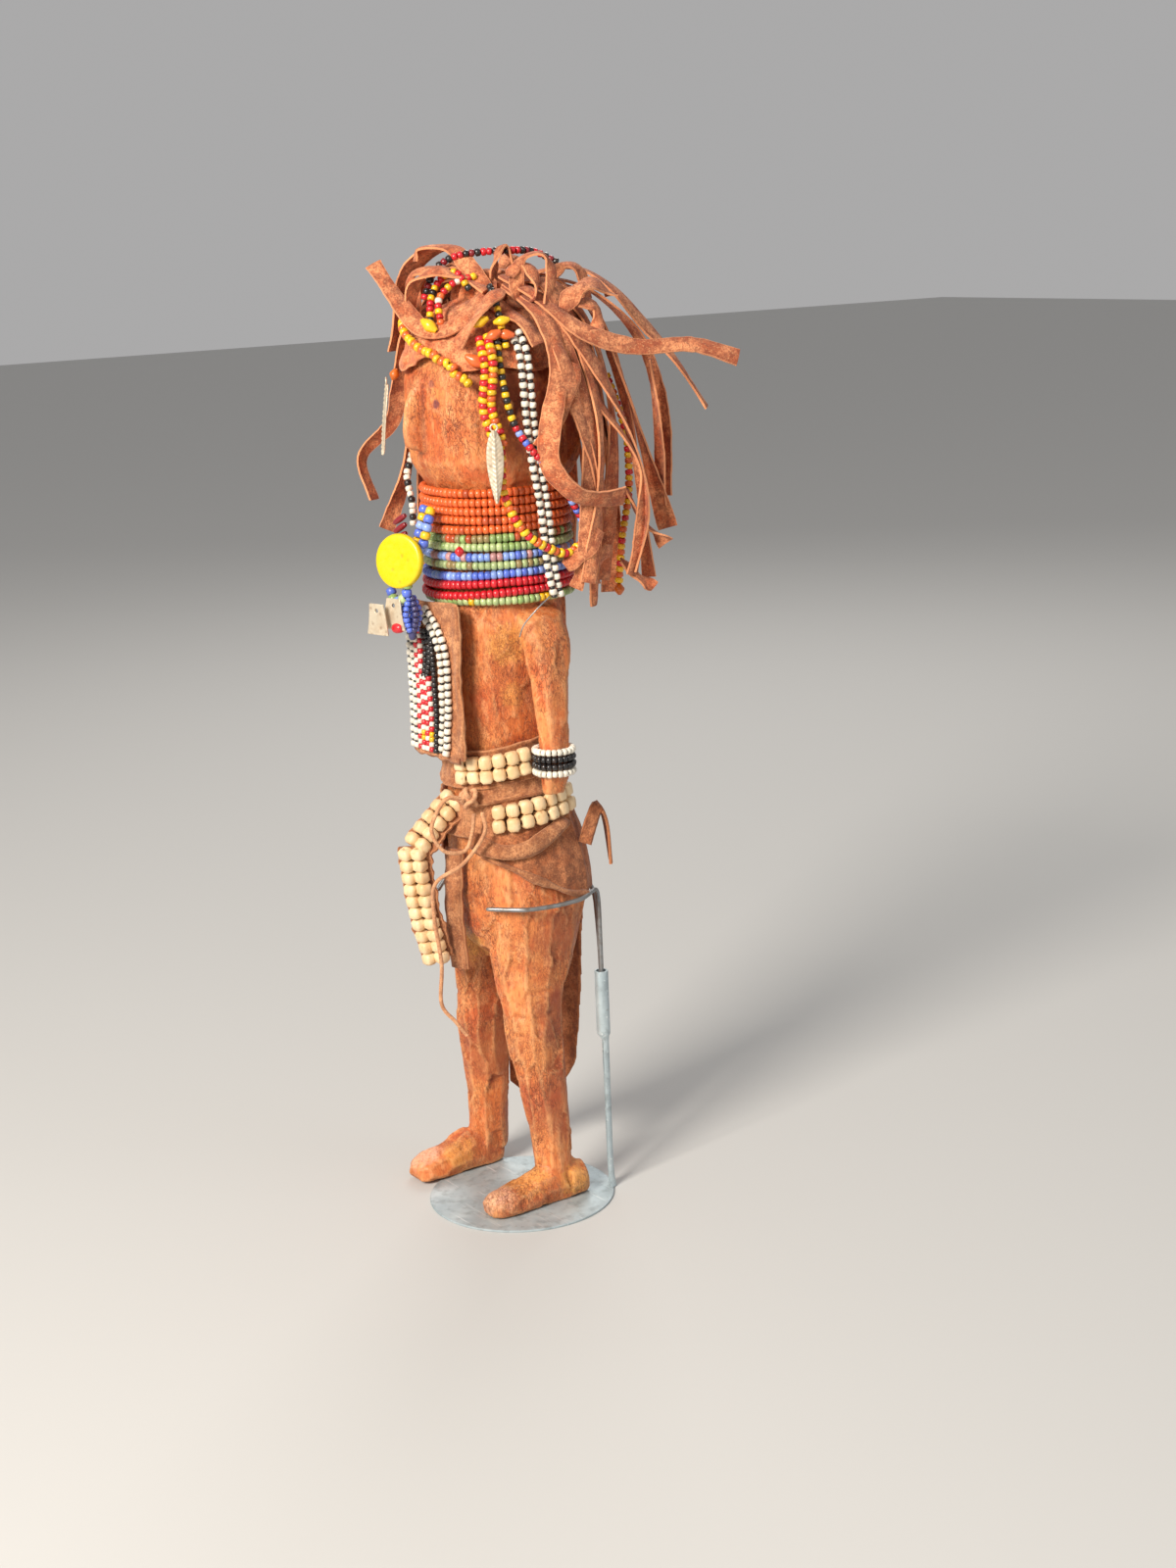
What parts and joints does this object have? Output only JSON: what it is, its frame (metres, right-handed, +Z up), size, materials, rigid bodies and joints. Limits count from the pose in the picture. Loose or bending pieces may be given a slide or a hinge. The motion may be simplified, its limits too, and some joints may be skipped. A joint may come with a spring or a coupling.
{
  "type": "beaded wooden doll on a wire stand",
  "caption": "Carved wooden doll dressed in beads and leather, with hair of leather strips, held upright by a wire clip on a sheet metal disc stand.",
  "frame": {"origin": "middle of the stand disc's underside, on the surface that the stand rests on", "axes": "+Z up along the doll, the doll faces -Y, and its left hand is on the +X side"},
  "size_m": [0.114, 0.1326, 0.3831],
  "materials": {
    "ochre_wood": "knife carved, rubbed with red ochre",
    "ochre_leather": "suede, dry and dusty with ochre",
    "zinc_sheet": "galvanised, dull",
    "steel_wire": "drawn, dull",
    "pale_metal": "worn sheet",
    "cream_bead": "worn, half gloss",
    "white_glass": "opaque glass, half gloss",
    "yellow_button": "half gloss",
    "blue_glass": "opaque glass, half gloss",
    "dark_red_glass": "opaque glass, half gloss",
    "orange_glass": "opaque glass, half gloss",
    "green_glass": "opaque glass, half gloss",
    "moss_glass": "opaque glass, half gloss",
    "lilac_glass": "opaque glass, half gloss",
    "cobalt_glass": "opaque glass, half gloss",
    "red_glass": "opaque glass, half gloss",
    "lime_glass": "opaque glass, half gloss",
    "yellow_glass": "opaque glass, half gloss"
  },
  "bodies": {
    "root": {"doll_figure": "ochre_wood", "stand_base": "zinc_sheet", "stand_wire": "steel_wire", "hair_leather": "ochre_leather", "neck_beads_orange": "orange_glass", "neck_beads_green": "green_glass", "neck_beads_blue": "lilac_glass", "neck_beads_moss": "moss_glass", "neck_beads_cobalt": "cobalt_glass", "neck_beads_red": "red_glass", "neck_beads_lime": "lime_glass", "strand_yellow_red": "yellow_glass", "strand_blue_red": "blue_glass", "strand_white_black": "white_glass", "strand_white_black_far": "white_glass", "strand_forehead": "yellow_glass", "strand_tail": "yellow_glass", "strand_crown_loop": "dark_red_glass", "leaf_pendant_near": "pale_metal", "leaf_pendant_far": "pale_metal", "button_disc": "yellow_button", "disc_strands": "blue_glass", "metal_pendant_front": "pale_metal", "metal_pendant_back": "pale_metal", "bundle_beads": "dark_red_glass", "bib_leather": "ochre_leather", "bib_beads": "white_glass", "belt_upper_leather": "ochre_leather", "belt_upper_beads": "cream_bead", "belt_lower_leather": "ochre_leather", "belt_lower_beads": "cream_bead", "apron_leather": "ochre_leather", "apron_beads": "cream_bead", "apron_under_strap": "ochre_leather", "waist_knot": "ochre_leather", "waist_bow": "ochre_leather", "waist_lace": "ochre_leather", "skirt": "ochre_leather", "skirt_loop": "ochre_leather", "bracelet_left": "white_glass", "bracelet_right": "white_glass"}
  },
  "joints": []
}
